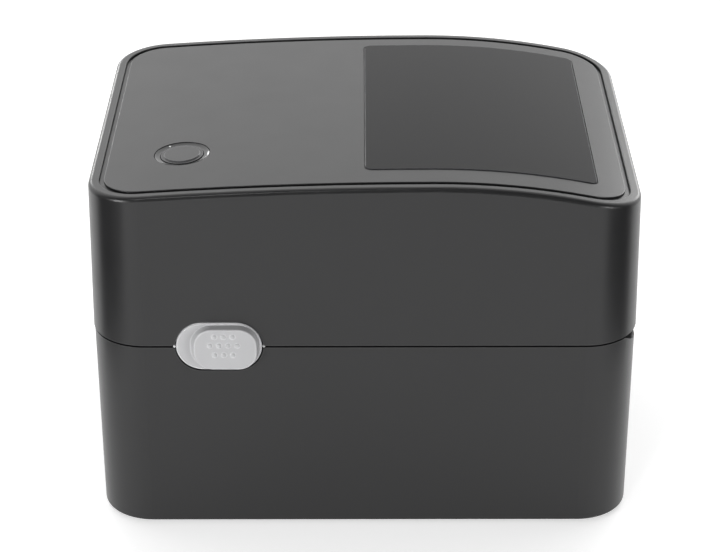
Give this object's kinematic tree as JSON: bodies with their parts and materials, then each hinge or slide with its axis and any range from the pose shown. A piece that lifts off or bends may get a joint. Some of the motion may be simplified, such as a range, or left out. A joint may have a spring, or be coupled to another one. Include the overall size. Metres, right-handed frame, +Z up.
{
  "type": "receipt printer",
  "caption": "Desktop receipt printer: seamed grey case with arched hinged lid, smoked window, feed button, side latches, roll well, platen drive and print head.",
  "frame": {"origin": "middle of the footprint on the surface it stands on, under the rubber feet", "axes": "+X along the long side towards the lid hinge (paper leaves at -X), +Y across to the left side, +Z up"},
  "size_m": [0.215, 0.1676, 0.1508],
  "materials": {
    "case_plastic": "satin",
    "deck_plastic": "matte",
    "latch_plastic": "satin",
    "button_plastic": "satin",
    "light_guide": "gloss",
    "smoked_window": "gloss",
    "rubber": "matte",
    "sheet_steel": "zinc plated",
    "bright_steel": "ground",
    "screw_steel": "zinc plated",
    "gear_plastic": "satin",
    "circuit_board": "satin",
    "chip_plastic": "matte",
    "socket_plastic": "satin",
    "aluminium": "extruded",
    "head_ceramic": "glazed",
    "cable_jacket": "satin",
    "bushing": "satin"
  },
  "bodies": {
    "base": {"base_shell": "case_plastic", "rubber_feet": "rubber", "hinge_pins": "bright_steel", "deck_posts": "bright_steel", "inner_deck": "deck_plastic", "deck_screws": "screw_steel", "drive_frame": "sheet_steel", "frame_screws": "screw_steel", "platen_bearings": "bushing", "idler_axle": "bright_steel", "motor_can": "sheet_steel", "motor_screws": "screw_steel", "motor_cable": "cable_jacket", "tear_bar": "bright_steel", "paper_guide": "deck_plastic", "gap_sensor": "chip_plastic", "guide_screw": "screw_steel", "main_board": "circuit_board", "board_screws": "screw_steel", "board_chips": "chip_plastic", "capacitors": "aluminium", "board_connectors": "socket_plastic", "power_jack": "chip_plastic", "jack_pin": "bright_steel", "data_socket": "sheet_steel", "data_tongue": "socket_plastic", "switch_housing": "chip_plastic"},
    "rocker": {"power_rocker": "chip_plastic"},
    "platen": {"platen_shaft": "bright_steel", "platen_rubber": "rubber", "platen_gear": "gear_plastic"},
    "idler": {"idler_gear": "gear_plastic"},
    "motor_rotor": {"motor_shaft": "bright_steel", "motor_pinion": "gear_plastic"},
    "guide_drive": {"guide_pinion": "gear_plastic"},
    "guide_left": {"roll_guide_left": "deck_plastic"},
    "guide_right": {"roll_guide_right": "deck_plastic"},
    "hub_left": {"roll_hub_left": "deck_plastic"},
    "hub_right": {"roll_hub_right": "deck_plastic"},
    "lid": {"lid_shell": "case_plastic", "top_panel": "case_plastic", "window": "smoked_window", "light_ring": "light_guide", "button_board": "circuit_board", "button_board_screws": "screw_steel", "tact_switch": "chip_plastic", "latch_spring_left": "bright_steel", "latch_spring_right": "bright_steel", "head_bracket": "sheet_steel", "bracket_posts": "bright_steel", "bracket_screws": "screw_steel", "head_pivot_pin": "bright_steel", "head_springs": "bright_steel"},
    "feed_key": {"feed_button": "button_plastic"},
    "latch_l": {"latch_left": "latch_plastic"},
    "latch_r": {"latch_right": "latch_plastic"},
    "head": {"heat_sink": "aluminium", "print_head": "head_ceramic", "head_connector": "socket_plastic"}
  },
  "joints": [
    {"name": "lid_hinge", "type": "hinge", "parent": "base", "child": "lid", "pos_m": [0.103, 0, 0.083], "axis": [0, 1, 0], "range_deg": [0, 80]},
    {"name": "latch_left_press", "type": "slide", "parent": "lid", "child": "latch_l", "axis": [0, -1, 0], "range_m": [0, 0.0025], "stiffness_N_per_m": 400, "springref_m": -0.002, "deforming": ["latch_spring_left"]},
    {"name": "latch_right_press", "type": "slide", "parent": "lid", "child": "latch_r", "axis": [0, 1, 0], "range_m": [0, 0.0025], "stiffness_N_per_m": 400, "springref_m": -0.002, "deforming": ["latch_spring_right"]},
    {"name": "feed_button_press", "type": "slide", "parent": "lid", "child": "feed_key", "axis": [0, 0, -1], "range_m": [0, 0.0008], "stiffness_N_per_m": 800, "springref_m": -0.001},
    {"name": "head_pivot", "type": "hinge", "parent": "lid", "child": "head", "pos_m": [-0.072, 0, 0.092], "axis": [0, 1, 0], "range_deg": [0, 2], "stiffness_Nm_per_rad": 1.2, "springref_deg": -6.88, "deforming": ["head_springs"]},
    {"name": "power_switch", "type": "hinge", "parent": "base", "child": "rocker", "pos_m": [0.1035, 0.035, 0.0317], "axis": [0, 1, 0], "range_deg": [0, 14]},
    {"name": "platen_spin", "type": "hinge", "parent": "base", "child": "platen", "pos_m": [-0.088, 0, 0.076], "axis": [0, 1, 0], "continuous": true},
    {"name": "idler_spin", "type": "hinge", "parent": "base", "child": "idler", "pos_m": [-0.07697, 0, 0.0569], "axis": [0, 1, 0], "continuous": true},
    {"name": "motor_spin", "type": "hinge", "parent": "base", "child": "motor_rotor", "pos_m": [-0.07697, 0, 0.04085], "axis": [0, 1, 0], "continuous": true},
    {"name": "guide_right_slide", "type": "slide", "parent": "base", "child": "guide_right", "axis": [0, 1, 0], "range_m": [0, 0.024]},
    {"name": "guide_left_slide", "type": "slide", "parent": "base", "child": "guide_left", "axis": [0, -1, 0], "range_m": [0, 0.024]},
    {"name": "guide_pinion_spin", "type": "hinge", "parent": "base", "child": "guide_drive", "pos_m": [-0.045, 0, 0.0785], "axis": [0, 0, 1], "range_deg": [-230, 0]},
    {"name": "hub_left_spin", "type": "hinge", "parent": "guide_left", "child": "hub_left", "pos_m": [0.017, 0, 0.066], "axis": [0, 1, 0], "continuous": true},
    {"name": "hub_right_spin", "type": "hinge", "parent": "guide_right", "child": "hub_right", "pos_m": [0.017, 0, 0.066], "axis": [0, 1, 0], "continuous": true}
  ],
  "couplings": [
    {"joint": "idler_spin", "follows": "platen_spin", "ratio": -1.2},
    {"joint": "motor_spin", "follows": "platen_spin", "ratio": 2},
    {"joint": "guide_left_slide", "follows": "guide_right_slide", "ratio": 1},
    {"joint": "guide_pinion_spin", "follows": "guide_right_slide", "rad_per_m": -166.67}
  ]
}
